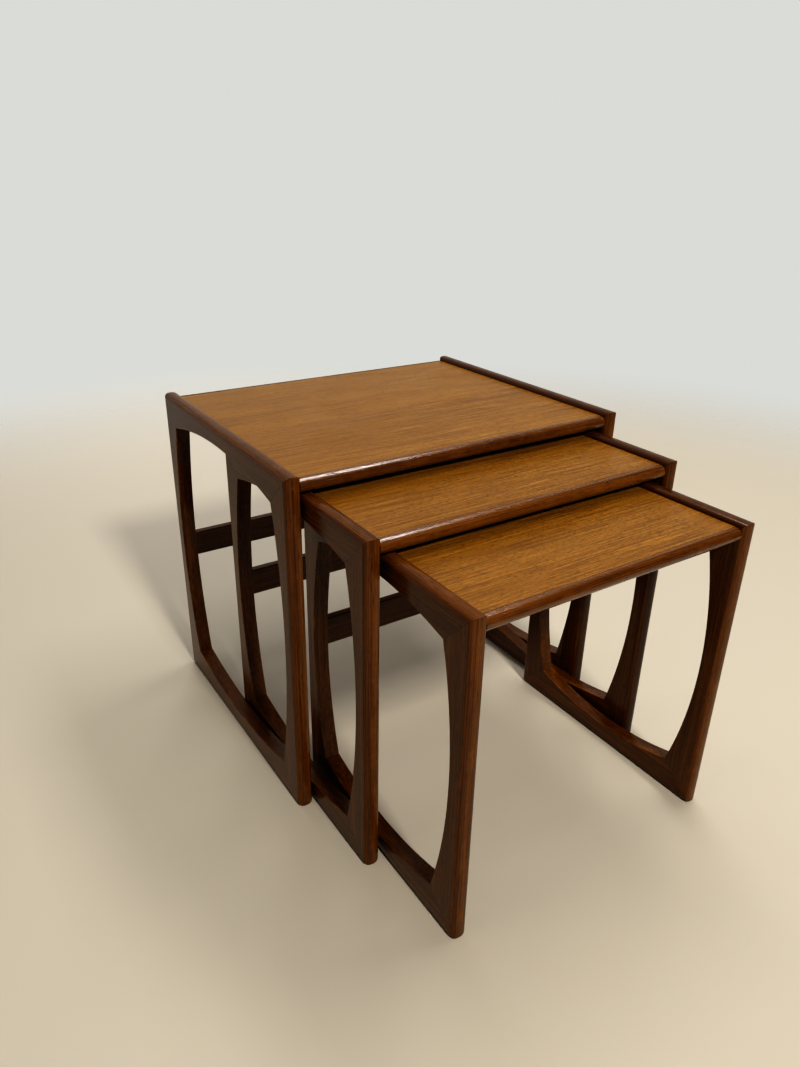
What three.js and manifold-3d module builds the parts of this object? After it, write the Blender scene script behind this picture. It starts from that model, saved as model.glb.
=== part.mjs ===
// A nest of three occasional tables in solid and veneered teak.
// Each table stands on two closed side frames. A frame is four members mitred at
// the corners: a top rail, a runner on the floor, and a front and a rear leg. The
// members are rounded on their outer edges and waisted on their inner edges. A
// veneered board with solid lippings hangs between the frames, and one stretcher
// joins the rear legs. The smaller tables slide into the larger ones from the front.
//
// Millimetres. X runs across the nest, +Y to the back and +Z up. The origin is on
// the floor, under the centre of the pulled-out nest.

import * as THREE from "three";
import { mergeVertices } from "three/addons/utils/BufferGeometryUtils.js";
import Module from "manifold-3d";

const wasm = await Module();
wasm.setup();

// ---- Driving dimensions -------------------------------------------------------

// Width, depth and height over the frames, how far the front stands forward of the
// largest table's front, and the depth of the top rails at their waist.
const TABLES = [
  { name: "large", width: 535, depth: 420, height: 485, pulledOut: 0, railWaist: 23.5 },
  { name: "middle", width: 487, depth: 384, height: 457, pulledOut: 136, railWaist: 27 },
  { name: "small", width: 429, depth: 348, height: 429, pulledOut: 280, railWaist: 27 },
];

const FRAME_THICKNESS = 21;
const TOP_CORNER = 44;          // leg and rail at the opening's upper corners
const FOOT_CORNER = 47;         // leg and runner at its lower corners
const LEG_WAIST = 22.5;         // legs at half height
const RUNNER_WAIST = 27;        // runners at half length
const EDGE_FLAT = 5;            // flat strip left along the rounded outer edge
const EDGE_DROP = 7;            // depth of the outer edge's rounding
const ARC_STEPS = 16;
const ROUND_STEPS = 5;
const JOINT_GAP = 0.3;          // glue line at a cut joint
const GLUE_LINE = 0.1;          // glue line between flat layers

const TONGUE_LENGTH = 30;       // tongue across each mitre
const TONGUE_REACH = 8;
const TONGUE_THICKNESS = 6;

const BOARD_BELOW_RAIL = 6.5;   // board's face below the crest of the rails
const BOARD_THICKNESS = 16;
const VENEER_THICKNESS = 0.6;
const LIPPING_HEIGHT = 18;
const LIPPING_DEPTH = 11;
const LIPPING_ROUND = 9;
const REAR_LIPPING_DEPTH = 6;
const BOARD_SET_BACK = 3.5;     // lippings behind the frames' front and rear

const STRETCHER_THICKNESS = 12;
const STRETCHER_HEIGHT = 40;
const STRETCHER_TOP = 253;      // above the floor, the same on all three tables
const STRETCHER_SET_BACK = 5.25;

const PANEL_DOWEL = { radius: 4, intoFrame: 12, intoBoard: 26, fromEnd: 62 };
const STRETCHER_DOWEL = { radius: 3, intoFrame: 11, intoBoard: 22 };
const DOWEL_SIDES = 16;

const CUT_MARGIN = 1;           // how far a cutter runs past the face that it cuts
const WELD_DISTANCE = 1e-4;     // corners closer than this become one corner

// ---- Materials ----------------------------------------------------------------

const wood = (color, roughness) => new THREE.MeshStandardMaterial({
  color,
  roughness,
  metalness: 0,
  flatShading: true,
});

const solidTeak = wood(0x5f3318, 0.4);
const teakVeneer = wood(0xa06a34, 0.42);
const backingVeneer = wood(0x7d5a38, 0.7);
const chipboard = wood(0xb99a6c, 0.9);
const beech = wood(0xcfa97a, 0.7);

// ---- Solids -------------------------------------------------------------------

/** Turns a closed three.js geometry into a solid that can be cut and joined. */
function solidOf(geometry) {
  const bare = geometry.clone();
  bare.deleteAttribute("normal");
  bare.deleteAttribute("uv");
  const merged = mergeVertices(bare, WELD_DISTANCE);
  return new wasm.Manifold(new wasm.Mesh({
    numProp: 3,
    vertProperties: new Float32Array(merged.attributes.position.array),
    triVerts: new Uint32Array(merged.index.array),
  }));
}

/** Turns a solid back into a three.js geometry. */
function geometryOf(solid) {
  const { vertProperties, triVerts } = solid.getMesh();
  const geometry = new THREE.BufferGeometry();
  geometry.setAttribute("position", new THREE.BufferAttribute(vertProperties, 3));
  geometry.setIndex(new THREE.BufferAttribute(triVerts, 1));
  geometry.computeVertexNormals();
  return geometry;
}

const AXES = {
  x: [new THREE.Vector3(0, 1, 0), new THREE.Vector3(0, 0, 1), new THREE.Vector3(1, 0, 0)],
  y: [new THREE.Vector3(0, 0, 1), new THREE.Vector3(1, 0, 0), new THREE.Vector3(0, 1, 0)],
};

/**
 * A prism along one axis. An outline along x lies in (y, z), along y in (z, x),
 * and along z in (x, y).
 */
function prism(axis, outline, from, to) {
  const shape = new THREE.Shape(outline.map(([u, v]) => new THREE.Vector2(u, v)));
  const geometry = new THREE.ExtrudeGeometry(shape, { depth: to - from, bevelEnabled: false });
  geometry.translate(0, 0, from);
  if (axis !== "z") {
    geometry.applyMatrix4(new THREE.Matrix4().makeBasis(...AXES[axis]));
  }
  return solidOf(geometry);
}

/** A rectangular block between two corners. */
function block([x0, y0, z0], [x1, y1, z1]) {
  const geometry = new THREE.BoxGeometry(x1 - x0, y1 - y0, z1 - z0);
  geometry.translate((x0 + x1) / 2, (y0 + y1) / 2, (z0 + z1) / 2);
  return solidOf(geometry);
}

/** A round bar along x. */
function barAlongX(radius, from, to, y, z) {
  const geometry = new THREE.CylinderGeometry(radius, radius, to - from, DOWEL_SIDES);
  geometry.rotateZ(Math.PI / 2);
  geometry.translate((from + to) / 2, y, z);
  return solidOf(geometry);
}

function mesh(name, solid, material) {
  const piece = new THREE.Mesh(geometryOf(solid), material);
  piece.name = name;
  return piece;
}

// ---- Side frames --------------------------------------------------------------

/**
 * Section of a frame member as [across, deep] points: across the frame's thickness
 * from its mid-plane, and deep inwards from the member's outer edge.
 */
function memberSection() {
  const half = FRAME_THICKNESS / 2;
  const run = half - EDGE_FLAT / 2;
  const rounding = [];
  for (let i = 0; i <= ROUND_STEPS; i += 1) {
    const angle = (i / ROUND_STEPS) * Math.PI / 2;
    rounding.push([
      half - run * (1 - Math.cos(angle)),
      EDGE_DROP * (1 - Math.sin(angle)),
    ]);
  }
  const otherSide = rounding.map(([across, deep]) => [-across, deep]).reverse();
  const inner = Math.max(TOP_CORNER, FOOT_CORNER) + CUT_MARGIN;
  return [[half, inner], ...rounding, ...otherSide, [-half, inner]];
}

/** The arc through three [along, deep] points, as its depth at any place along. */
function arcThrough([x1, y1], [x2, y2], [x3, y3]) {
  const twiceArea = 2 * (x1 * (y2 - y3) + x2 * (y3 - y1) + x3 * (y1 - y2));
  const s1 = x1 ** 2 + y1 ** 2;
  const s2 = x2 ** 2 + y2 ** 2;
  const s3 = x3 ** 2 + y3 ** 2;
  const centreX = (s1 * (y2 - y3) + s2 * (y3 - y1) + s3 * (y1 - y2)) / twiceArea;
  const centreY = (s1 * (x3 - x2) + s2 * (x1 - x3) + s3 * (x2 - x1)) / twiceArea;
  const radius = Math.hypot(x1 - centreX, y1 - centreY);
  return (along) => centreY - Math.sqrt(radius ** 2 - (along - centreX) ** 2);
}

/**
 * Side view of a member as [along, deep] points: a long outer edge, mitred ends as
 * wide as the two corners, and an inner edge that is an arc through the waist.
 */
function memberOutline({ length, start, end, waist }) {
  const trim = JOINT_GAP / Math.SQRT2;
  const middle = (start + length - end) / 2;
  const deepAt = arcThrough([start, start], [middle, waist], [length - end, end]);
  const innerStart = start + trim;
  const innerEnd = length - end - trim;
  const points = [[trim, 0], [length - trim, 0]];
  for (let i = 0; i <= ARC_STEPS; i += 1) {
    const along = innerEnd + (innerStart - innerEnd) * i / ARC_STEPS;
    points.push([along, deepAt(along)]);
  }
  return points;
}

/** Keeps an outline anticlockwise after its axes have been turned or mirrored. */
function anticlockwise(points) {
  const twiceArea = points.reduce((sum, [u, v], i) => {
    const [nextU, nextV] = points[(i + 1) % points.length];
    return sum + u * nextV - nextU * v;
  }, 0);
  return twiceArea < 0 ? [...points].reverse() : points;
}

/** The tongue across one mitre, or the pocket that it fits when given a clearance. */
function tongue(cornerY, cornerZ, clearance) {
  const towardsY = cornerY === 0 ? 1 : -1;
  const towardsZ = cornerZ === 0 ? 1 : -1;
  const middle = (cornerZ === 0 ? FOOT_CORNER : TOP_CORNER) / 2;
  const half = TONGUE_LENGTH / 2 + clearance;
  const reach = TONGUE_REACH + clearance;
  const outline = [[-half, -reach], [half, -reach], [half, reach], [-half, reach]].map(([u, v]) => [
    cornerY + towardsY * (middle + (u + v) / Math.SQRT2),
    cornerZ + towardsZ * (middle + (u - v) / Math.SQRT2),
  ]);
  const thick = TONGUE_THICKNESS / 2 + clearance;
  return prism("x", anticlockwise(outline), -thick, thick);
}

/** The four members of one side frame, centred on x = 0 with its front at y = 0. */
function sideFrame(table, side) {
  const { name, depth, height, railWaist } = table;
  const half = FRAME_THICKNESS / 2;
  const section = memberSection();

  const sawn = (outline, place) => {
    const placed = outline.map(([along, deep]) => place(along, deep));
    return prism("x", anticlockwise(placed), -half - CUT_MARGIN, half + CUT_MARGIN);
  };
  const rounded = (axis, length, place) => {
    const placed = section.map(([across, deep]) => place(across, deep));
    return prism(axis, anticlockwise(placed), 0, length);
  };
  const railOutline = memberOutline(
    { length: depth, start: TOP_CORNER, end: TOP_CORNER, waist: railWaist },
  );
  const runnerOutline = memberOutline(
    { length: depth, start: FOOT_CORNER, end: FOOT_CORNER, waist: RUNNER_WAIST },
  );
  const legOutline = memberOutline(
    { length: height, start: FOOT_CORNER, end: TOP_CORNER, waist: LEG_WAIST },
  );

  let topRail = sawn(railOutline, (along, deep) => [along, height - deep])
    .intersect(rounded("y", depth, (across, deep) => [height - deep, across]));
  let runner = sawn(runnerOutline, (along, deep) => [along, deep])
    .intersect(rounded("y", depth, (across, deep) => [deep, across]));
  let frontLeg = sawn(legOutline, (along, deep) => [deep, along])
    .intersect(rounded("z", height, (across, deep) => [across, deep]));
  let rearLeg = sawn(legOutline, (along, deep) => [depth - deep, along])
    .intersect(rounded("z", height, (across, deep) => [across, depth - deep]));

  for (const y of [0, depth]) {
    topRail = topRail.add(tongue(y, height, 0));
    runner = runner.add(tongue(y, 0, 0));
  }
  for (const z of [0, height]) {
    frontLeg = frontLeg.subtract(tongue(0, z, JOINT_GAP));
    rearLeg = rearLeg.subtract(tongue(depth, z, JOINT_GAP));
  }

  // dowel holes in the inner face
  const hole = (dowel, y, z) => {
    const innerFace = -side * half;
    const bottom = innerFace + side * (dowel.intoFrame + JOINT_GAP);
    const mouth = innerFace - side * CUT_MARGIN;
    return barAlongX(
      dowel.radius + JOINT_GAP,
      Math.min(bottom, mouth),
      Math.max(bottom, mouth),
      y,
      z,
    );
  };
  for (const y of panelDowelPlaces(table)) {
    topRail = topRail.subtract(hole(PANEL_DOWEL, y, boardMiddle(table)));
  }
  const joint = stretcherMiddle(table);
  rearLeg = rearLeg.subtract(hole(STRETCHER_DOWEL, joint.y, joint.z));

  const label = `${name}_${side < 0 ? "left" : "right"}`;
  const frame = new THREE.Group();
  frame.add(
    mesh(`${label}_top_rail`, topRail, solidTeak),
    mesh(`${label}_runner`, runner, solidTeak),
    mesh(`${label}_front_leg`, frontLeg, solidTeak),
    mesh(`${label}_rear_leg`, rearLeg, solidTeak),
  );
  frame.position.x = side * (table.width - FRAME_THICKNESS) / 2;
  return frame;
}

// ---- Board, stretcher and dowels ----------------------------------------------

/** Half the clear width between the side frames, less a glue line. */
function halfSpan(table) {
  return table.width / 2 - FRAME_THICKNESS - JOINT_GAP;
}

/** Height of the board's middle layer, where its dowels lie. */
function boardMiddle(table) {
  return table.height - BOARD_BELOW_RAIL - BOARD_THICKNESS / 2;
}

function panelDowelPlaces(table) {
  return [PANEL_DOWEL.fromEnd, table.depth - PANEL_DOWEL.fromEnd];
}

function stretcherMiddle(table) {
  return {
    y: table.depth - STRETCHER_SET_BACK - STRETCHER_THICKNESS / 2,
    z: STRETCHER_TOP - STRETCHER_HEIGHT / 2,
  };
}

/** Cuts the dowel holes into the two ends of a piece that spans the frames. */
function drillEnds(solid, table, dowel, y, z) {
  const end = halfSpan(table);
  const bottom = end - dowel.intoBoard - JOINT_GAP;
  const radius = dowel.radius + JOINT_GAP;
  return solid
    .subtract(barAlongX(radius, bottom, end + CUT_MARGIN, y, z))
    .subtract(barAlongX(radius, -end - CUT_MARGIN, -bottom, y, z));
}

/** Core, two veneers and two lippings. */
function board(table) {
  const end = halfSpan(table);
  const top = table.height - BOARD_BELOW_RAIL;
  const bottom = top - BOARD_THICKNESS;
  const front = BOARD_SET_BACK + LIPPING_DEPTH + GLUE_LINE;
  const rear = table.depth - BOARD_SET_BACK - REAR_LIPPING_DEPTH - GLUE_LINE;
  const layer = (low, high) => block([-end, front, low], [end, rear, high]);

  let core = layer(bottom + VENEER_THICKNESS + GLUE_LINE, top - VENEER_THICKNESS - GLUE_LINE);
  for (const y of panelDowelPlaces(table)) {
    core = drillEnds(core, table, PANEL_DOWEL, y, boardMiddle(table));
  }
  return [
    mesh(`${table.name}_board_core`, core, chipboard),
    mesh(`${table.name}_top_veneer`, layer(top - VENEER_THICKNESS, top), teakVeneer),
    mesh(`${table.name}_under_veneer`, layer(bottom, bottom + VENEER_THICKNESS), backingVeneer),
    mesh(`${table.name}_front_lipping`, frontLipping(table), solidTeak),
    mesh(`${table.name}_rear_lipping`, block(
      [-end, rear + GLUE_LINE, bottom],
      [end, table.depth - BOARD_SET_BACK, top],
    ), solidTeak),
  ];
}

/** A half-round nose on a square back, flush with the top of the board. */
function frontLipping(table) {
  const top = table.height - BOARD_BELOW_RAIL;
  const middle = top - LIPPING_HEIGHT / 2;
  const noseSteps = 2 * ROUND_STEPS;
  const outline = [];
  for (let i = 0; i <= noseSteps; i += 1) {
    const angle = -Math.PI / 2 + (i / noseSteps) * Math.PI;
    outline.push([
      BOARD_SET_BACK + LIPPING_ROUND * (1 - Math.cos(angle)),
      middle + LIPPING_HEIGHT / 2 * Math.sin(angle),
    ]);
  }
  outline.push([BOARD_SET_BACK + LIPPING_DEPTH, top]);
  outline.push([BOARD_SET_BACK + LIPPING_DEPTH, top - LIPPING_HEIGHT]);
  const end = halfSpan(table);
  return prism("x", anticlockwise(outline), -end, end);
}

function stretcher(table) {
  const end = halfSpan(table);
  const { y, z } = stretcherMiddle(table);
  const bar = block(
    [-end, y - STRETCHER_THICKNESS / 2, z - STRETCHER_HEIGHT / 2],
    [end, y + STRETCHER_THICKNESS / 2, z + STRETCHER_HEIGHT / 2],
  );
  return mesh(`${table.name}_rear_stretcher`, drillEnds(bar, table, STRETCHER_DOWEL, y, z), solidTeak);
}

/** A hidden dowel from a side frame into the board or the stretcher. */
function dowelPin(name, table, side, dowel, y, z) {
  const innerFace = table.width / 2 - FRAME_THICKNESS;
  const inner = side * (innerFace - JOINT_GAP - dowel.intoBoard);
  const outer = side * (innerFace + dowel.intoFrame);
  const bar = barAlongX(dowel.radius, Math.min(inner, outer), Math.max(inner, outer), y, z);
  return mesh(name, bar, beech);
}

function dowels(table) {
  const pins = [];
  for (const side of [-1, 1]) {
    const hand = side < 0 ? "left" : "right";
    panelDowelPlaces(table).forEach((y, i) => {
      const label = `${table.name}_${i === 0 ? "front" : "rear"}_board_dowel_${hand}`;
      pins.push(dowelPin(label, table, side, PANEL_DOWEL, y, boardMiddle(table)));
    });
    const { y, z } = stretcherMiddle(table);
    pins.push(dowelPin(`${table.name}_stretcher_dowel_${hand}`, table, side, STRETCHER_DOWEL, y, z));
  }
  return pins;
}

// ---- The nest -----------------------------------------------------------------

const furthestOut = Math.max(...TABLES.map((table) => table.pulledOut));
const nestDepth = TABLES[0].depth + furthestOut;

const group = new THREE.Group();
for (const table of TABLES) {
  const assembly = new THREE.Group();
  assembly.add(
    sideFrame(table, -1),
    sideFrame(table, 1),
    ...board(table),
    stretcher(table),
    ...dowels(table),
  );
  assembly.position.y = -nestDepth / 2 + furthestOut - table.pulledOut;
  group.add(assembly);
}

export default group;
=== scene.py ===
"""A nest of three teak tables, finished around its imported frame.

Every place and outer size is read from the frame. The side frames' members are
shaped again with fine, softly rounded edges, the boards get veneer, lippings and
joint lines, and every piece gets a wood with grain that runs along it.
"""

import logging
import math
from dataclasses import dataclass, field, replace
from enum import Enum

import bmesh
import bpy
from mathutils import Matrix, Vector


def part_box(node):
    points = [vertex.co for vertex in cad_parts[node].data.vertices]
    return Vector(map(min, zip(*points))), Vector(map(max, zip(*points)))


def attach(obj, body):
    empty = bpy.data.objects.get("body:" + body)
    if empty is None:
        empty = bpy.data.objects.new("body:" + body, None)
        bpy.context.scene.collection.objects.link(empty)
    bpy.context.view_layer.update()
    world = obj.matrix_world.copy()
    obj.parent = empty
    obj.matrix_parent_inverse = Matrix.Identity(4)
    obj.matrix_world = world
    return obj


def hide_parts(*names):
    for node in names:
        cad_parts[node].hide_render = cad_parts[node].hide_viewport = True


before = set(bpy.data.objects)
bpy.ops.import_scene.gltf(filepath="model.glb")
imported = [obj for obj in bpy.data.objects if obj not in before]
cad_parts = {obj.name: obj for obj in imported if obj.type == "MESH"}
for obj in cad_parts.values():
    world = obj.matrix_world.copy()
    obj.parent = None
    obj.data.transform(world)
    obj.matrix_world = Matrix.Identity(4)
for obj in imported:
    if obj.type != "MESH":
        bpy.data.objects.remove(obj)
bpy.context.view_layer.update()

MM = 0.001
SHARP_ANGLE = math.radians(40)

# Mesh attributes that the woods read: grain coordinates, worn edges and a tone, which paints
# shade into some pieces' colour.
GRAIN = "grain"
ARRIS = "arris"
PAINTED_SHADE_TONE = "tone"
RIGHT_RAIL_PAINTED_SHADE = -0.2      # painted shade: the right-hand top rails' wood colour is dimmed

# Each table's name, and the depth of its top rails at their waist in millimetres.
TABLES = (("large", 23.5), ("middle", 27.0), ("small", 27.0))

LOG = logging.getLogger("nest")


# ---- Small tools --------------------------------------------------------------

def linear(hex_colour: str) -> tuple[float, float, float, float]:
    """Turns an sRGB hex colour into a linear RGBA value.

    Args:
        hex_colour: Six hex digits with a leading #.

    Returns:
        Red, green, blue and alpha, linear.
    """
    channels = [int(hex_colour[i:i + 2], 16) / 255 for i in (1, 3, 5)]
    return tuple(
        c / 12.92 if c <= 0.04045 else ((c + 0.055) / 1.055) ** 2.4 for c in channels
    ) + (1.0,)


def add_node(tree: bpy.types.NodeTree, kind: str, inputs: dict | None = None,
             **settings: object) -> bpy.types.Node:
    """Adds one node, with its settings and links.

    Args:
        tree: The tree that the node goes into.
        kind: The node's type name.
        inputs: Input name or number to a value, or to the socket it is linked from.
        **settings: Properties of the node.

    Returns:
        The new node.
    """
    node = tree.nodes.new(kind)
    for name, value in settings.items():
        setattr(node, name, value)
    for key, value in (inputs or {}).items():
        if isinstance(value, bpy.types.NodeSocket):
            tree.links.new(value, node.inputs[key])
        else:
            node.inputs[key].default_value = value
    return node


def add_piece(name: str, mesh: bpy.types.Mesh) -> bpy.types.Object:
    """Links a mesh into the scene as an object at the origin."""
    piece = bpy.data.objects.new(name, mesh)
    bpy.context.scene.collection.objects.link(piece)
    return piece


def closed_mesh(name: str, coords: list[tuple[float, float, float]],
                faces: list[tuple[int, ...]]) -> bpy.types.Mesh:
    """Builds a mesh with its faces turned outwards.

    Args:
        name: The mesh's name.
        coords: Its corners.
        faces: Its faces, each a run of corner numbers.

    Returns:
        The new mesh.
    """
    mesh = bpy.data.meshes.new(name)
    mesh.from_pydata(coords, [], faces)
    shell = bmesh.new()
    shell.from_mesh(mesh)
    bmesh.ops.recalc_face_normals(shell, faces=shell.faces)
    shell.to_mesh(mesh)
    shell.free()
    return mesh


def shade(mesh: bpy.types.Mesh, tone: float) -> None:
    """Stores the tone added to this piece's wood colour; a negative tone is painted shade."""
    layer = mesh.attributes.new(PAINTED_SHADE_TONE, "FLOAT", "POINT")
    layer.data.foreach_set("value", [tone] * len(mesh.vertices))


# ---- Finishes -----------------------------------------------------------------

class GrainSource(Enum):
    """Where a wood's grain coordinates come from."""

    PIECE = "piece"     # the piece's own grain attribute: along, across, deep
    OBJECT = "object"   # object coordinates, with the grain along X


@dataclass(frozen=True)
class WoodFinish:
    """A straight-grained wood under a satin lacquer.

    Sizes are in millimetres. Each layer of figure is a noise stretched along the
    grain: broad bands of colour, streaks within them, thin dark growth rings, and
    open pores, which are dark dashes that also dent the lacquer. Real pores are about
    0.3 mm wide, too fine to show, so pores and streaks are drawn coarser.
    """

    name: str
    dark: str
    middle: str
    light: str
    pore: str
    worn: str
    band_mm: float = 26.0
    band_length_mm: float = 1500.0
    streak_mm: float = 1.3
    streak_length_mm: float = 140.0
    contrast: float = 1.0
    ring_mm: float = 4.5
    ring_length_mm: float = 700.0
    ring_cut: tuple[float, float] = (0.52, 0.66)
    ring_strength: float = 0.07
    pore_mm: float = 0.9
    pore_length_mm: float = 16.0
    pore_cut: float = 0.54
    pore_fade: float = 0.16
    wander_mm: float = 3.0
    drift_per_metre: tuple[float, float, float] = (2.2, 7.0, 7.0)
    streak_share: float = 0.55
    pore_strength: float = 0.55
    wear_strength: float = 0.5
    wear_per_metre: float = 38.0
    wear_cut: tuple[float, float] = (0.46, 0.68)
    roughness: float = 0.32
    roughness_spread: float = 0.08
    haze_per_metre: float = 14.0
    ior: float = 1.42
    coat: float = 0.0
    coat_roughness: float = 0.22
    pore_depth_mm: float = 0.06
    pore_bump: float = 0.6
    source: GrainSource = GrainSource.PIECE

    def material(self) -> bpy.types.Material:
        """Builds the wood's material.

        Returns:
            A node material.
        """
        material = bpy.data.materials.new(self.name)
        material.use_nodes = True
        tree = material.node_tree
        tree.nodes.clear()
        place = self._coordinates(tree)
        bands = self._stretched_noise(
            tree, place, self.band_length_mm, self.band_mm, 2.0, 0.6)
        streaks = self._stretched_noise(
            tree, place, self.streak_length_mm, self.streak_mm, 3.0, 0.0)
        rings = self._stretched_noise(
            tree, place, self.ring_length_mm, self.ring_mm, 1.0, 0.3)
        pores = self._stretched_noise(
            tree, place, self.pore_length_mm, self.pore_mm, 1.0, 0.0)

        figure = add_node(tree, "ShaderNodeMix", {
            0: self.streak_share, 2: bands, 3: streaks}, data_type="FLOAT")
        ring = add_node(tree, "ShaderNodeMapRange", {
            "Value": rings, "From Min": self.ring_cut[0], "From Max": self.ring_cut[1],
            "To Min": 0.0, "To Max": -self.ring_strength},
            interpolation_type="SMOOTHSTEP")
        ringed = add_node(tree, "ShaderNodeMath", {
            0: figure.outputs[0], 1: ring.outputs[0]}, operation="ADD")
        # The tone attribute dims the colour where shade is painted in, on the right-hand top
        # rails.
        tone = add_node(tree, "ShaderNodeAttribute", attribute_name=PAINTED_SHADE_TONE)
        toned = add_node(tree, "ShaderNodeMath", {
            0: ringed.outputs[0], 1: tone.outputs["Fac"]}, operation="ADD")
        ramp = add_node(tree, "ShaderNodeValToRGB", {0: toned.outputs[0]})
        stops = ramp.color_ramp
        stops.elements[0].position = 0.5 - 0.14 / self.contrast
        stops.elements[0].color = linear(self.dark)
        stops.elements[1].position = 0.5 + 0.16 / self.contrast
        stops.elements[1].color = linear(self.light)
        stops.elements.new(0.5).color = linear(self.middle)

        open_pore = add_node(tree, "ShaderNodeMapRange", {
            "Value": pores, "From Min": self.pore_cut,
            "From Max": self.pore_cut + self.pore_fade,
            "To Min": 0.0, "To Max": 1.0}, interpolation_type="SMOOTHSTEP")
        pore_share = add_node(tree, "ShaderNodeMath", {
            0: open_pore.outputs[0], 1: self.pore_strength}, operation="MULTIPLY")
        with_pores = add_node(tree, "ShaderNodeMix", {
            0: pore_share.outputs[0], 6: ramp.outputs[0], 7: linear(self.pore)},
            data_type="RGBA")

        wear = self._wear(tree, place)
        colour = add_node(tree, "ShaderNodeMix", {
            0: wear, 6: with_pores.outputs[2], 7: linear(self.worn)}, data_type="RGBA")
        haze = add_node(tree, "ShaderNodeTexNoise", {
            "Vector": place, "Scale": self.haze_per_metre, "Detail": 3.0, "Roughness": 0.6})
        roughness = add_node(tree, "ShaderNodeMapRange", {
            "Value": haze.outputs["Fac"], "From Min": 0.3, "From Max": 0.7,
            "To Min": self.roughness - self.roughness_spread / 2,
            "To Max": self.roughness + self.roughness_spread / 2})
        height = add_node(tree, "ShaderNodeMath", {
            0: open_pore.outputs[0], 1: -1.0, 2: 1.0}, operation="MULTIPLY_ADD")
        bump = add_node(tree, "ShaderNodeBump", {
            "Strength": self.pore_bump, "Distance": self.pore_depth_mm * MM,
            "Height": height.outputs[0]})
        shader = add_node(tree, "ShaderNodeBsdfPrincipled", {
            "Base Color": colour.outputs[2],
            "Roughness": roughness.outputs[0],
            "IOR": self.ior,
            "Coat Weight": self.coat,
            "Coat Roughness": self.coat_roughness,
            "Coat Normal": bump.outputs[0],
            "Normal": bump.outputs[0]})
        add_node(tree, "ShaderNodeOutputMaterial", {"Surface": shader.outputs[0]})
        return material

    def _coordinates(self, tree: bpy.types.NodeTree) -> bpy.types.NodeSocket:
        """Adds the grain coordinates, wandering a little, and returns their socket."""
        if self.source is GrainSource.PIECE:
            raw = add_node(tree, "ShaderNodeAttribute", attribute_name=GRAIN).outputs["Vector"]
        else:
            raw = add_node(tree, "ShaderNodeTexCoord").outputs["Object"]
        slow = add_node(tree, "ShaderNodeMapping", {
            "Vector": raw, "Scale": self.drift_per_metre})
        drift = add_node(tree, "ShaderNodeTexNoise", {
            "Vector": slow.outputs[0], "Scale": 1.0, "Detail": 2.0, "Roughness": 0.4})
        centred = add_node(tree, "ShaderNodeVectorMath", {
            0: drift.outputs["Color"], 1: (0.5, 0.5, 0.5)}, operation="SUBTRACT")
        sway = self.wander_mm * MM * 2
        moved = add_node(tree, "ShaderNodeVectorMath", {
            0: centred.outputs[0], 1: (0.0, sway, sway), 2: raw}, operation="MULTIPLY_ADD")
        return moved.outputs[0]

    def _stretched_noise(self, tree: bpy.types.NodeTree, place: bpy.types.NodeSocket,
                         along_mm: float, across_mm: float, detail: float,
                         distortion: float) -> bpy.types.NodeSocket:
        """Adds a noise that is long along the grain and narrow across it.

        Args:
            tree: The material's tree.
            place: The grain coordinates.
            along_mm: Length of a feature.
            across_mm: Width of a feature.
            detail: Octaves of the noise.
            distortion: How much it curls.

        Returns:
            The noise's value socket.
        """
        scale = (1 / (along_mm * MM), 1 / (across_mm * MM), 1 / (across_mm * MM))
        mapped = add_node(tree, "ShaderNodeMapping", {"Vector": place, "Scale": scale})
        noise = add_node(tree, "ShaderNodeTexNoise", {
            "Vector": mapped.outputs[0], "Scale": 1.0, "Detail": detail,
            "Roughness": 0.55, "Distortion": distortion})
        return noise.outputs["Fac"]

    def _wear(self, tree: bpy.types.NodeTree,
              place: bpy.types.NodeSocket) -> bpy.types.NodeSocket:
        """Adds rubbed arrises, patchy along their length, and returns their share."""
        edge = add_node(tree, "ShaderNodeAttribute", attribute_name=ARRIS)
        patch = add_node(tree, "ShaderNodeTexNoise", {
            "Vector": place, "Scale": self.wear_per_metre, "Detail": 4.0, "Roughness": 0.65})
        rubbed = add_node(tree, "ShaderNodeMapRange", {
            "Value": patch.outputs["Fac"],
            "From Min": self.wear_cut[0], "From Max": self.wear_cut[1],
            "To Min": 0.0, "To Max": self.wear_strength})
        share = add_node(tree, "ShaderNodeMath", {
            0: edge.outputs["Fac"], 1: rubbed.outputs[0]}, operation="MULTIPLY")
        return share.outputs[0]


@dataclass(frozen=True)
class ChipboardFinish:
    """Pressed wood chips, raw at the board's hidden core."""

    name: str = "raw_chipboard"
    dark: str = "#9A7B52"
    light: str = "#D2B98C"
    chip_mm: float = 3.0

    def material(self) -> bpy.types.Material:
        """Builds the chipboard's material, one tone to each chip."""
        material = bpy.data.materials.new(self.name)
        material.use_nodes = True
        tree = material.node_tree
        tree.nodes.clear()
        place = add_node(tree, "ShaderNodeTexCoord").outputs["Object"]
        chips = add_node(tree, "ShaderNodeTexVoronoi", {
            "Vector": place, "Scale": 1 / (self.chip_mm * MM)})
        colour = add_node(tree, "ShaderNodeMix", {
            0: chips.outputs["Distance"], 6: linear(self.light), 7: linear(self.dark)},
            data_type="RGBA")
        bump = add_node(tree, "ShaderNodeBump", {
            "Strength": 0.5, "Distance": 0.2 * MM, "Height": chips.outputs["Distance"]})
        shader = add_node(tree, "ShaderNodeBsdfPrincipled", {
            "Base Color": colour.outputs[2], "Roughness": 0.9, "Normal": bump.outputs[0]})
        add_node(tree, "ShaderNodeOutputMaterial", {"Surface": shader.outputs[0]})
        return material


# Solid teak, planed, stained a little and lacquered satin: dark red-brown, its
# streaks close together, with a soft sheen and arrises rubbed lighter by hands.
SOLID_TEAK = WoodFinish(
    name="lacquered_solid_teak",
    dark="#442507", middle="#5A350B", light="#714714", pore="#2A1505", worn="#8C5E2A",
    band_mm=16.0, roughness=0.20)

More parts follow.
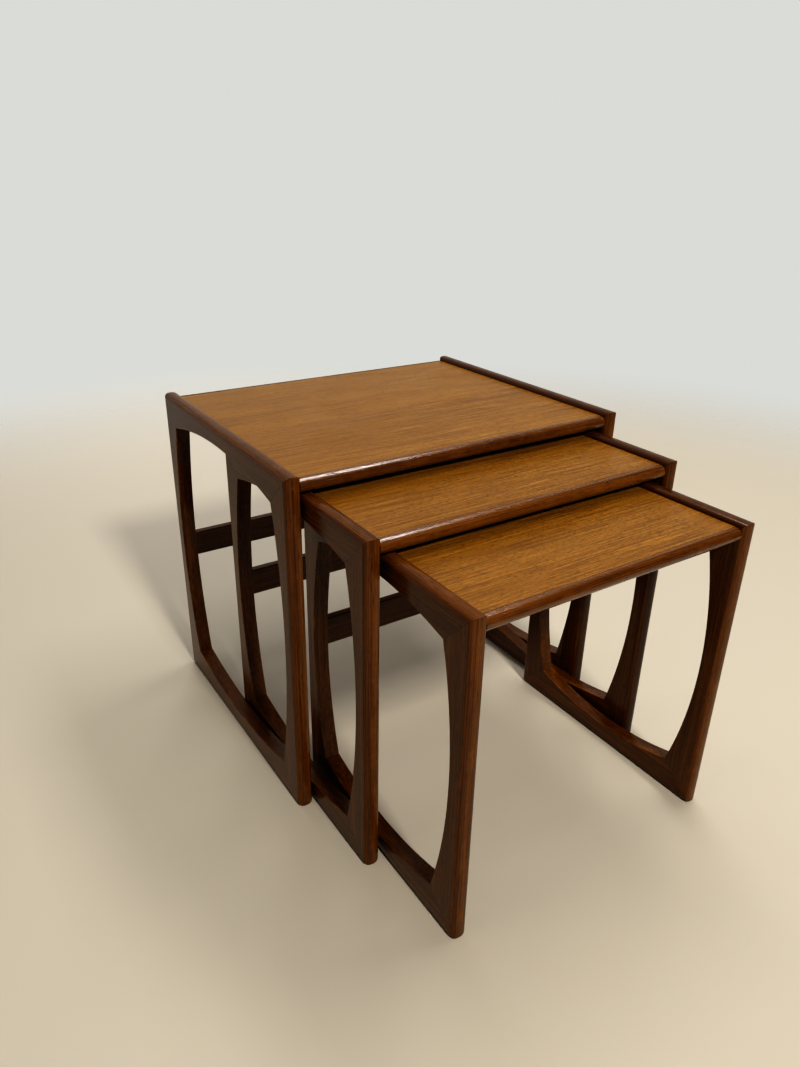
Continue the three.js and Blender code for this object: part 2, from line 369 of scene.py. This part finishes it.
# The same teak where the lippings' round noses were rubbed up after lacquering: a
# clear gloss coat that takes a bright, broken line of light.
POLISHED_TEAK = replace(SOLID_TEAK, name="polished_teak_lipping",
                        coat=0.8, coat_roughness=0.22, pore_depth_mm=0.15)

# Sliced teak veneer under a satin lacquer: golden brown and straight, its streaks
# broken up by short dark pores. Both are drawn coarser than real so that they show.
TEAK_VENEER = WoodFinish(
    name="lacquered_teak_veneer",
    dark="#6B450C", middle="#855C19", light="#986F2A", pore="#4A2C08", worn="#A27C3E",
    band_mm=45.0, streak_mm=0.9, streak_length_mm=90.0, streak_share=0.85, contrast=1.3,
    ring_mm=3.0, ring_strength=0.035, pore_mm=0.8, pore_length_mm=7.0, pore_cut=0.50,
    pore_strength=0.6)

# Backing veneer under the boards: plainer, sealed only, so nearly matt.
BACKING_VENEER = WoodFinish(
    name="sealed_backing_veneer",
    dark="#6A4726", middle="#84603A", light="#9C7850", pore="#4A3018", worn="#A98860",
    roughness=0.7)

# Turned beech: pale pink-brown with short flecks, hidden in the joints.
BEECH = WoodFinish(
    name="beech_dowel_rod",
    dark="#B98C5C", middle="#CDA576", light="#DDBB90", pore="#A1754A", worn="#DDBB90",
    roughness=0.7, streak_mm=1.2, source=GrainSource.OBJECT)


@dataclass
class Finishes:
    """The nest's materials, one of each."""

    solid: bpy.types.Material = field(default_factory=SOLID_TEAK.material)
    polished: bpy.types.Material = field(default_factory=POLISHED_TEAK.material)
    veneer: bpy.types.Material = field(default_factory=TEAK_VENEER.material)
    backing: bpy.types.Material = field(default_factory=BACKING_VENEER.material)
    chipboard: bpy.types.Material = field(default_factory=lambda: ChipboardFinish().material())
    beech: bpy.types.Material = field(default_factory=BEECH.material)


# ---- Frame members ------------------------------------------------------------

class Member(Enum):
    """The four members of a side frame: node suffix, then along and deep axes."""

    TOP_RAIL = ("top_rail", (0, 1, 0), (0, 0, -1))
    RUNNER = ("runner", (0, 1, 0), (0, 0, 1))
    FRONT_LEG = ("front_leg", (0, 0, 1), (0, 1, 0))
    REAR_LEG = ("rear_leg", (0, 0, 1), (0, -1, 0))

    def __init__(self, suffix: str, along: tuple, deep: tuple) -> None:
        """Keeps the node suffix and the member's two axes."""
        self.suffix = suffix
        self.along = Vector(along)
        self.deep = Vector(deep)


@dataclass(frozen=True)
class SectionPoint:
    """A point of a member's section.

    Its depth from the outer edge is fixed + toward * the member's depth there.
    """

    across: float
    fixed: float
    toward: float
    arris: float


@dataclass(frozen=True)
class MemberSection:
    """Section of a frame member, in millimetres.

    The outer edge is a flattened half round, and the inner edge is square with
    small rounded arrises.
    """

    thickness: float
    edge_drop: float = 7.0
    edge_power: float = 2.5
    edge_steps: int = 22
    arris_radius: float = 0.9
    arris_steps: int = 3
    support: float = 0.5
    edge_wear: float = 0.35

    def points(self) -> list[SectionPoint]:
        """Returns the points around the section, in metres."""
        half = self.thickness / 2
        outline: list[tuple[float, float, float, float]] = []
        for i in range(self.edge_steps + 1):
            angle = math.pi * i / self.edge_steps
            across = math.copysign(abs(math.cos(angle)) ** (2 / self.edge_power),
                                   math.cos(angle)) * half
            drop = self.edge_drop * (1 - math.sin(angle) ** (2 / self.edge_power))
            outline.append((across, drop, 0.0, self.edge_wear * math.sin(angle) ** 6))
        outline += self._side(-half, -1)
        outline += [(-half + self.arris_radius + self.support, 0.0, 1.0, 0.0),
                    (half - self.arris_radius - self.support, 0.0, 1.0, 0.0)]
        outline += self._side(half, 1)[::-1]
        return [SectionPoint(a * MM, f * MM, t, w) for a, f, t, w in outline]

    def _side(self, face: float, sign: int) -> list[tuple[float, float, float, float]]:
        """Returns one side face from the outer edge to the inner arris."""
        radius = self.arris_radius
        side = [(face, self.edge_drop + self.support, 0.0, 0.0),
                (face, self.edge_drop / 2, 0.5, 0.0),
                (face, -radius - self.support, 1.0, 0.0)]
        for i in range(self.arris_steps + 1):
            angle = math.pi / 2 * i / self.arris_steps
            side.append((face - sign * radius * (1 - math.cos(angle)),
                         radius * (math.sin(angle) - 1), 1.0, 1.0))
        return side


@dataclass(frozen=True)
class Arc:
    """The arc of a member's inner edge, in metres along and deep."""

    radius: float
    along: float
    deep: float

    @staticmethod
    def through(start: float, end: float, length: float, waist: float) -> "Arc":
        """Finds the arc through two mitred corners and the waist between them.

        Args:
            start: Member's depth at its first corner.
            end: Its depth at its last corner.
            length: Its length over the outer edge.
            waist: Its depth half-way between the corners.

        Returns:
            The arc.
        """
        x1, y1 = start, start
        x3, y3 = length - end, end
        x2, y2 = (x1 + x3) / 2, waist
        twice = 2 * (x1 * (y2 - y3) + x2 * (y3 - y1) + x3 * (y1 - y2))
        s1, s2, s3 = x1 ** 2 + y1 ** 2, x2 ** 2 + y2 ** 2, x3 ** 2 + y3 ** 2
        along = (s1 * (y2 - y3) + s2 * (y3 - y1) + s3 * (y1 - y2)) / twice
        deep = (s1 * (x3 - x2) + s2 * (x1 - x3) + s3 * (x2 - x1)) / twice
        return Arc(math.hypot(x1 - along, y1 - deep), along, deep)


class MemberShaper:
    """Shapes a straight blank into a mitred, waisted member with Geometry Nodes."""

    NOMINAL_DEPTH = 0.03
    RINGS = 40

    def __init__(self, section: MemberSection) -> None:
        """Makes the blank and the node tree that every member shares."""
        self.section = section
        self.blank = self._blank()
        self.tree = self._tree()

    def _blank(self) -> bpy.types.Mesh:
        """Builds a closed straight bar with the attributes that the tree reads."""
        points = self.section.points()
        rings = self.RINGS + 1
        around = len(points)
        coords, values = [], []
        for r in range(rings):
            run = r / self.RINGS
            for p in points:
                coords.append((p.across, run, p.fixed + p.toward * self.NOMINAL_DEPTH))
                values.append((p.across, run, p.fixed, p.toward, p.arris))
        for run in (0.0, 1.0):
            coords.append((0.0, run, self.NOMINAL_DEPTH / 2))
            values.append((0.0, run, 0.0, 0.5, 0.0))
        faces = []
        for r in range(self.RINGS):
            for i in range(around):
                j = (i + 1) % around
                faces.append((r * around + i, r * around + j,
                              (r + 1) * around + j, (r + 1) * around + i))
        first, last = rings * around, rings * around + 1
        for i in range(around):
            j = (i + 1) % around
            faces.append((first, j, i))
            faces.append((last, self.RINGS * around + i, self.RINGS * around + j))
        mesh = closed_mesh("member_blank", coords, faces)
        for k, name in enumerate(("across", "run", "fixed", "toward", ARRIS)):
            layer = mesh.attributes.new(name, "FLOAT", "POINT")
            layer.data.foreach_set("value", [v[k] for v in values])
        return mesh

    def _tree(self) -> bpy.types.NodeTree:
        """Builds the rule: mitred ends, an arc inside, and grain along the member."""
        tree = bpy.data.node_groups.new("member_rule", "GeometryNodeTree")
        face = tree.interface
        face.new_socket("Geometry", in_out="INPUT", socket_type="NodeSocketGeometry")
        for name in ("Length", "Start Corner", "End Corner", "Arc Radius", "Arc Along",
                     "Arc Deep", "Mitre Trim"):
            face.new_socket(name, in_out="INPUT", socket_type="NodeSocketFloat")
        for name in ("Place", "Along Axis", "Deep Axis", "Grain Offset"):
            face.new_socket(name, in_out="INPUT", socket_type="NodeSocketVector")
        face.new_socket("Wood", in_out="INPUT", socket_type="NodeSocketMaterial")
        face.new_socket("Geometry", in_out="OUTPUT", socket_type="NodeSocketGeometry")
        given = add_node(tree, "NodeGroupInput").outputs

        across, run, fixed, toward = (
            add_node(tree, "GeometryNodeInputNamedAttribute", {"Name": name},
                     data_type="FLOAT").outputs["Attribute"]
            for name in ("across", "run", "fixed", "toward"))

        def calc(operation: str, *terms: object) -> bpy.types.NodeSocket:
            """Adds one arithmetic step and returns its result."""
            return add_node(tree, "ShaderNodeMath", dict(enumerate(terms)),
                            operation=operation).outputs[0]

        trim = given["Mitre Trim"]
        inner_start = calc("ADD", given["Start Corner"], trim)
        inner_end = calc("SUBTRACT", calc("SUBTRACT", given["Length"], given["End Corner"]), trim)
        inner_along = calc("MULTIPLY_ADD", run, calc("SUBTRACT", inner_end, inner_start),
                           inner_start)
        offset = calc("SUBTRACT", inner_along, given["Arc Along"])
        rise = calc("SQRT", calc("SUBTRACT", calc("MULTIPLY", given["Arc Radius"],
                                                  given["Arc Radius"]),
                                 calc("MULTIPLY", offset, offset)))
        deep = calc("MULTIPLY_ADD", toward, calc("SUBTRACT", given["Arc Deep"], rise), fixed)
        first = calc("ADD", calc("MULTIPLY_ADD", toward, given["Start Corner"], fixed), trim)
        last = calc("SUBTRACT", calc("SUBTRACT", given["Length"], trim),
                    calc("MULTIPLY_ADD", toward, given["End Corner"], fixed))
        along = calc("MULTIPLY_ADD", run, calc("SUBTRACT", last, first), first)

        across_axis = add_node(tree, "ShaderNodeVectorMath", {
            0: given["Along Axis"], 1: given["Deep Axis"]}, operation="CROSS_PRODUCT")
        place = given["Place"]
        for axis, amount in ((across_axis.outputs[0], across), (given["Along Axis"], along),
                             (given["Deep Axis"], deep)):
            step = add_node(tree, "ShaderNodeVectorMath", {0: axis, "Scale": amount},
                            operation="SCALE")
            place = add_node(tree, "ShaderNodeVectorMath", {0: place, 1: step.outputs[0]},
                             operation="ADD").outputs[0]
        grain = add_node(tree, "ShaderNodeCombineXYZ", {0: along, 1: across, 2: deep})
        shifted = add_node(tree, "ShaderNodeVectorMath", {
            0: grain.outputs[0], 1: given["Grain Offset"]}, operation="ADD")
        shaped = add_node(tree, "GeometryNodeSetPosition", {
            "Geometry": given["Geometry"], "Position": place})
        marked = add_node(tree, "GeometryNodeStoreNamedAttribute", {
            "Geometry": shaped.outputs[0], "Name": GRAIN, "Value": shifted.outputs[0]},
            data_type="FLOAT_VECTOR", domain="POINT")
        real = add_node(tree, "GeometryNodeRealizeInstances", {"Geometry": marked.outputs[0]})
        dressed = add_node(tree, "GeometryNodeSetMaterial", {
            "Geometry": real.outputs[0], "Material": given["Wood"]})
        add_node(tree, "NodeGroupOutput", {0: dressed.outputs[0]})
        return tree

    def shape(self, name: str, sizes: dict[str, object]) -> bpy.types.Object:
        """Shapes one member.

        Args:
            name: The piece's name.
            sizes: A value for each named input of the tree.

        Returns:
            The piece, as a plain mesh.
        """
        piece = add_piece(name, self.blank.copy())
        modifier = piece.modifiers.new("rule", "NODES")
        modifier.node_group = self.tree
        for socket in self.tree.interface.items_tree:
            if socket.in_out == "INPUT" and socket.name in sizes:
                modifier[socket.identifier] = sizes[socket.name]
        seen = piece.evaluated_get(bpy.context.evaluated_depsgraph_get())
        mesh = bpy.data.meshes.new_from_object(seen)
        piece.modifiers.clear()
        piece.data = mesh
        mesh.name = name
        for layer in ("across", "run", "fixed", "toward"):
            mesh.attributes.remove(mesh.attributes[layer])
        mesh.shade_smooth()
        mesh.set_sharp_from_angle(angle=SHARP_ANGLE)
        return piece


@dataclass
class SideFrame:
    """One closed side frame of a table. Widths are in millimetres."""

    table: str
    side: str
    shaper: MemberShaper
    finishes: Finishes
    rail_waist: float
    grain_start: float
    top_corner: float = 44.0
    foot_corner: float = 47.0
    leg_waist: float = 22.5
    runner_waist: float = 27.0
    mitre_gap: float = 0.16
    grain_step: tuple[float, float] = (1.7, 0.31)   # metres from member to member

    def build(self) -> list[bpy.types.Object]:
        """Shapes the four members.

        Returns:
            The members, each riding on its table.
        """
        return [self._member(member, i) for i, member in enumerate(Member)]

    def _extent(self) -> tuple[Vector, Vector]:
        """Returns the frame's lowest and highest corners."""
        low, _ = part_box(f"{self.table}_{self.side}_front_leg")
        _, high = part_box(f"{self.table}_{self.side}_rear_leg")
        _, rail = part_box(f"{self.table}_{self.side}_top_rail")
        runner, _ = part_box(f"{self.table}_{self.side}_runner")
        return Vector((low.x, low.y, runner.z)), Vector((high.x, high.y, rail.z))

    def _member(self, member: Member, index: int) -> bpy.types.Object:
        """Shapes one member between its two mitres."""
        low, high = self._extent()
        upright = member in (Member.FRONT_LEG, Member.REAR_LEG)
        start = self.top_corner if member is Member.TOP_RAIL else self.foot_corner
        end = self.foot_corner if member is Member.RUNNER else self.top_corner
        waist = {Member.TOP_RAIL: self.rail_waist, Member.RUNNER: self.runner_waist}.get(
            member, self.leg_waist)
        length = high.z - low.z if upright else high.y - low.y
        arc = Arc.through(start * MM, end * MM, length, waist * MM)
        place = Vector((
            (low.x + high.x) / 2,
            high.y if member is Member.REAR_LEG else low.y,
            high.z if member is Member.TOP_RAIL else low.z))
        node = f"{self.table}_{self.side}_{member.suffix}"
        piece = self.shaper.shape(f"{node}_wood", {
            "Length": length,
            "Start Corner": start * MM,
            "End Corner": end * MM,
            "Arc Radius": arc.radius,
            "Arc Along": arc.along,
            "Arc Deep": arc.deep,
            "Mitre Trim": self.mitre_gap * MM / math.sqrt(2),
            "Place": place,
            "Along Axis": member.along,
            "Deep Axis": member.deep,
            "Grain Offset": Vector((
                self.grain_start + self.grain_step[0] * index, self.grain_step[1] * index, 0.0)),
            "Wood": self.finishes.solid})
        # Painted shade: the right-hand top rails get a dimmed wood colour.
        painted_shade_rail = member is Member.TOP_RAIL and self.side == "right"
        shade(piece.data, RIGHT_RAIL_PAINTED_SHADE if painted_shade_rail else 0.0)
        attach(piece, f"{self.table}_table")
        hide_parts(node)
        return piece


# ---- Boards, lippings and stretchers ------------------------------------------

@dataclass
class Plank:
    """A straight piece with its grain along X and its long edges eased."""

    name: str
    node: str
    body: str
    slot: str
    wood: bpy.types.Material
    outline: list[tuple[float, float, float]]
    span: tuple[float, float]
    grain_offset: Vector
    slices: int = 24

    def build(self) -> bpy.types.Object:
        """Extrudes the outline along X and dresses it.

        Returns:
            The piece, riding on its body in place of its node.
        """
        low, high = self.span
        around = len(self.outline)
        coords, faces, worn = [], [], []
        for s in range(self.slices + 1):
            x = low + (high - low) * s / self.slices
            for y, z, wear in self.outline:
                coords.append((x, y, z))
                worn.append(wear)
        for s in range(self.slices):
            for i in range(around):
                j = (i + 1) % around
                faces.append((s * around + i, s * around + j,
                              (s + 1) * around + j, (s + 1) * around + i))
        faces.append(tuple(range(around)))
        faces.append(tuple(range(self.slices * around, (self.slices + 1) * around)))
        mesh = closed_mesh(self.name, coords, faces)
        arris = mesh.attributes.new(ARRIS, "FLOAT", "POINT")
        arris.data.foreach_set("value", worn)
        grain = mesh.attributes.new(GRAIN, "FLOAT_VECTOR", "POINT")
        flat = [c + o for co in coords for c, o in zip(co, self.grain_offset)]
        grain.data.foreach_set("vector", flat)
        mesh.materials.append(self.wood)
        mesh.shade_smooth()
        mesh.set_sharp_from_angle(angle=SHARP_ANGLE)
        piece = add_piece(self.name, mesh)
        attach(piece, self.body)
        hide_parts(self.node)
        return piece


def eased_rectangle(low: Vector, high: Vector, ease: float, steps: int = 3,
                    support: float = 0.5) -> list[tuple[float, float, float]]:
    """Outlines a rectangle in Y and Z with rounded corners.

    Args:
        low: Lowest corner of the piece.
        high: Highest corner.
        ease: Radius of the rounded corners, in millimetres.
        steps: Steps in each rounding.
        support: Extra points this far beyond each rounding, in millimetres.

    Returns:
        Points of (y, z, wear).
    """
    radius, beyond = ease * MM, support * MM
    points = []
    corners = [(high.y, high.z, 0), (low.y, high.z, 1), (low.y, low.z, 2), (high.y, low.z, 3)]
    for y, z, quarter in corners:
        inward_y = -1 if y == high.y else 1
        inward_z = -1 if z == high.z else 1
        centre_y, centre_z = y + inward_y * radius, z + inward_z * radius
        start = quarter * math.pi / 2
        arc = [(centre_y + radius * math.cos(start + math.pi / 2 * i / steps),
                centre_z + radius * math.sin(start + math.pi / 2 * i / steps), 1.0)
               for i in range(steps + 1)]
        along_first = (-math.sin(start), math.cos(start))
        along_last = (-math.sin(start + math.pi / 2), math.cos(start + math.pi / 2))
        before = (arc[0][0] - along_first[0] * beyond, arc[0][1] - along_first[1] * beyond, 0.0)
        after = (arc[-1][0] + along_last[0] * beyond, arc[-1][1] + along_last[1] * beyond, 0.0)
        points += [before, *arc, after]
    return points


@dataclass
class Board:
    """A table's board: veneers on a core, between two solid lippings.

    Sizes are in millimetres.
    """

    table: str
    finishes: Finishes
    grain_offset: Vector
    nose_steps: int = 22
    nose_wear: float = 0.5
    square_back: float = 2.0
    joint_ease: float = 0.35
    veneer_ease: float = 0.25
    backing_ease: float = 0.2
    strip_ease: float = 0.8

    def build(self) -> list[bpy.types.Object]:
        """Builds the veneers and lippings, and dresses the hidden core.

        Returns:
            The four visible pieces.
        """
        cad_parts[f"{self.table}_board_core"].data.materials.clear()
        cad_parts[f"{self.table}_board_core"].data.materials.append(
            self.finishes.chipboard)
        return [
            self._layer("top_veneer", "teak_veneer", self.finishes.veneer, self.veneer_ease),
            self._layer("under_veneer", "backing_veneer", self.finishes.backing,
                        self.backing_ease),
            self._front_lipping(),
            self._layer("rear_lipping", "solid_teak", self.finishes.solid, self.strip_ease),
        ]

    def _plank(self, part: str, slot: str, wood: bpy.types.Material,
               outline: list[tuple[float, float, float]]) -> bpy.types.Object:
        """Builds one piece of the board on its node's span."""
        node = f"{self.table}_{part}"
        low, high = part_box(node)
        return Plank(f"{node}_wood", node, f"{self.table}_table", slot, wood, outline,
                     (low.x, high.x), self.grain_offset).build()

    def _layer(self, part: str, slot: str, wood: bpy.types.Material,
               ease: float) -> bpy.types.Object:
        """Builds a flat layer or strip with eased edges."""
        low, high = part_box(f"{self.table}_{part}")
        return self._plank(part, slot, wood, eased_rectangle(low, high, ease, support=ease))

    def _front_lipping(self) -> bpy.types.Object:
        """Builds the front lipping: a half-round nose on a square back."""
        low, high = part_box(f"{self.table}_front_lipping")
        middle = (low.z + high.z) / 2
        half = (high.z - low.z) / 2
        reach = high.y - low.y - self.square_back * MM
        ease = self.joint_ease * MM
        outline = [(high.y, high.z - ease, 0.0), (high.y - ease, high.z, 0.0)]
        for i in range(self.nose_steps + 1):
            angle = math.pi * i / self.nose_steps
            outline.append((low.y + reach * (1 - math.sin(angle)),
                            middle + math.cos(angle) * half,
                            self.nose_wear * math.sin(angle) ** 4))
        outline += [(high.y - ease, low.z, 0.0), (high.y, low.z + ease, 0.0)]
        return self._plank("front_lipping", "solid_teak", self.finishes.polished, outline)


@dataclass
class Stretcher:
    """The rail between a table's rear legs."""

    table: str
    finishes: Finishes
    grain_offset: Vector
    ease: float = 1.2

    def build(self) -> bpy.types.Object:
        """Builds the stretcher with its long edges eased."""
        node = f"{self.table}_rear_stretcher"
        low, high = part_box(node)
        outline = eased_rectangle(low, high, self.ease, steps=4)
        return Plank(f"{node}_wood", node, f"{self.table}_table", "solid_teak",
                     self.finishes.solid, outline, (low.x, high.x), self.grain_offset).build()


@dataclass
class Table:
    """One table of the nest."""

    name: str
    rail_waist: float
    number: int
    shaper: MemberShaper
    finishes: Finishes
    # Metres between the grain of neighbouring pieces, so that no two match.
    frame_grain_step: float = 11.3
    side_grain_step: float = 5.1
    board_grain_step: tuple[float, float, float] = (3.7, 1.9, 0.8)

    def build(self) -> list[bpy.types.Object]:
        """Builds every visible piece and dresses the hidden dowels.

        Returns:
            The visible pieces.
        """
        pieces = []
        for k, side in enumerate(("left", "right")):
            start = self.frame_grain_step * self.number + self.side_grain_step * k
            pieces += SideFrame(self.name, side, self.shaper, self.finishes, self.rail_waist,
                                start).build()
        offset = Vector([step * self.number for step in self.board_grain_step])
        pieces += Board(self.name, self.finishes, offset).build()
        pieces.append(Stretcher(self.name, self.finishes, offset * 2).build())
        for node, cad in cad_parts.items():
            if node.startswith(self.name) and "dowel" in node:
                cad.data.materials.clear()
                cad.data.materials.append(self.finishes.beech)
        return pieces


# ---- Studio -------------------------------------------------------------------

@dataclass(frozen=True)
class Softbox:
    """A soft area light, aimed at a point, which reflections may leave out."""

    name: str
    place: tuple[float, float, float]
    aim: tuple[float, float, float]
    size: tuple[float, float]
    power: float
    colour: str
    mirrored: bool = True

    def build(self) -> None:
        """Adds the light."""
        light = bpy.data.lights.new(self.name, "AREA")
        light.shape = "RECTANGLE"
        light.size, light.size_y = self.size
        light.energy = self.power
        light.color = linear(self.colour)[:3]
        lamp = bpy.data.objects.new(self.name, light)
        bpy.context.scene.collection.objects.link(lamp)
        lamp.visible_camera = False
        lamp.visible_glossy = self.mirrored
        lamp.location = self.place
        toward = Vector(self.aim) - Vector(self.place)
        lamp.rotation_euler = toward.to_track_quat("-Z", "Y").to_euler()


@dataclass(frozen=True)
class Studio:
    """Pale floor, soft light and the camera."""

    floor_colour: str = "#AFA798"
    floor_solid: float = 1.3
    floor_radius: float = 2.6
    floor_sides: int = 64
    floor_roughness: float = 0.65
    sky_colour: str = "#DEDFDC"
    sky_strength: float = 0.065
    wall_strength: float = 0.5
    wall_way: tuple[float, float, float] = (0.2, 0.97, 0.1)
    wall_edge: tuple[float, float] = (0.25, 0.7)
    backdrop_strength: float = 0.62
    camera_place: tuple[float, float, float] = (-0.6216, -0.8398, 0.8133)
    azimuth: float = -33.58
    elevation: float = 25.11
    roll: float = 1.06
    lens: float = 26.97
    sensor: float = 36.0
    nearest: float = 0.02
    softboxes: tuple[Softbox, ...] = (
        Softbox("window_front", (-0.35, -2.6, 2.55), (0.0, 0.0, 0.2), (0.4, 0.4), 86.0,
                "#FFFDFA"),
        Softbox("ceiling_strip", (0.85, 0.1, 2.5), (0.85, 0.1, 0.0), (0.5, 1.6), 22.0,
                "#FFFFFF"),
        Softbox("fill_behind", (0.5, 3.2, 1.4), (0.0, 0.0, 0.25), (2.5, 2.0), 60.0,
                "#F6F8FF", mirrored=False),
        Softbox("fill_right", (3.2, 0.6, 1.2), (0.0, 0.0, 0.25), (2.0, 2.0), 20.0,
                "#FFF8F0", mirrored=False),
        Softbox("fill_left", (-3.2, 0.4, 1.3), (0.0, 0.0, 0.25), (2.0, 2.0), 14.0,
                "#FFF4E6", mirrored=False),
    )

    def build(self) -> None:
        """Builds the floor, the lights and the camera."""
        self._floor()
        self._sky()
        for softbox in self.softboxes:
            softbox.build()
        self._camera()

    def _floor(self) -> None:
        """Adds a plain matt floor."""
        disc = bmesh.new()
        bmesh.ops.create_circle(disc, cap_ends=True, segments=self.floor_sides,
                              radius=self.floor_radius)
        mesh = bpy.data.meshes.new("studio_floor")
        disc.to_mesh(mesh)
        disc.free()
        material = bpy.data.materials.new("matt_pale_floor")
        material.use_nodes = True
        tree = material.node_tree
        tree.nodes.clear()
        shader = add_node(tree, "ShaderNodeBsdfPrincipled", {
            "Base Color": linear(self.floor_colour), "Roughness": self.floor_roughness})
        place = add_node(tree, "ShaderNodeTexCoord").outputs["Object"]
        reach = add_node(tree, "ShaderNodeVectorMath", {0: place}, operation="LENGTH")
        fade = add_node(tree, "ShaderNodeMapRange", {
            "Value": reach.outputs["Value"], "From Min": self.floor_solid,
            "From Max": self.floor_radius}, interpolation_type="SMOOTHSTEP")
        away = add_node(tree, "ShaderNodeBsdfTransparent")
        soft = add_node(tree, "ShaderNodeMixShader", {
            0: fade.outputs[0], 1: shader.outputs[0], 2: away.outputs[0]})
        add_node(tree, "ShaderNodeOutputMaterial", {"Surface": soft.outputs[0]})
        mesh.materials.append(material)
        add_piece("studio_floor", mesh)

    def _sky(self) -> None:
        """Adds dim light from all round and the glow of a pale wall behind."""
        world = bpy.data.worlds.new("studio")
        world.use_nodes = True
        tree = world.node_tree
        tree.nodes.clear()
        way = add_node(tree, "ShaderNodeTexCoord").outputs["Generated"]
        facing = add_node(tree, "ShaderNodeVectorMath", {0: way, 1: self.wall_way},
                          operation="DOT_PRODUCT").outputs["Value"]
        wall = add_node(tree, "ShaderNodeMapRange", {
            "Value": facing, "From Min": self.wall_edge[0], "From Max": self.wall_edge[1],
            "To Min": self.sky_strength, "To Max": self.wall_strength},
            interpolation_type="SMOOTHSTEP").outputs[0]
        seen = add_node(tree, "ShaderNodeLightPath").outputs["Is Camera Ray"]
        strength = add_node(tree, "ShaderNodeMix", {
            0: seen, 2: wall, 3: self.backdrop_strength}, data_type="FLOAT")
        glow = add_node(tree, "ShaderNodeBackground", {
            "Color": linear(self.sky_colour), "Strength": strength.outputs[0]})
        add_node(tree, "ShaderNodeOutputWorld", {"Surface": glow.outputs[0]})
        bpy.context.scene.world = world
        bpy.context.scene.view_settings.view_transform = "Standard"
        bpy.context.scene.view_settings.look = "Very High Contrast"

    def _camera(self) -> None:
        """Places the camera from its azimuth, elevation and roll."""
        camera = bpy.data.cameras.new("camera")
        camera.lens = self.lens
        camera.sensor_width = self.sensor
        camera.sensor_fit = "AUTO"
        camera.clip_start = self.nearest
        eye = bpy.data.objects.new("camera", camera)
        bpy.context.scene.collection.objects.link(eye)
        azimuth, elevation = math.radians(self.azimuth), math.radians(self.elevation)
        back = Vector((math.sin(azimuth) * math.cos(elevation),
                       -math.cos(azimuth) * math.cos(elevation), math.sin(elevation)))
        eye.matrix_world = (Matrix.Translation(self.camera_place)
                            @ back.to_track_quat("Z", "Y").to_matrix().to_4x4()
                            @ Matrix.Rotation(math.radians(self.roll), 4, "Z"))
        bpy.context.scene.camera = eye


def main() -> None:
    """Builds the nest and its studio."""
    logging.basicConfig(level=logging.INFO, format="%(message)s")
    Studio().build()
    finishes = Finishes()
    low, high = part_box("large_left_front_leg")
    shaper = MemberShaper(MemberSection(thickness=(high.x - low.x) / MM))
    for number, (name, waist) in enumerate(TABLES):
        for piece in Table(name, waist, number, shaper, finishes).build():
            LOG.info("%s: %d faces", piece.name, len(piece.data.polygons))


if __name__ == "__main__":
    main()
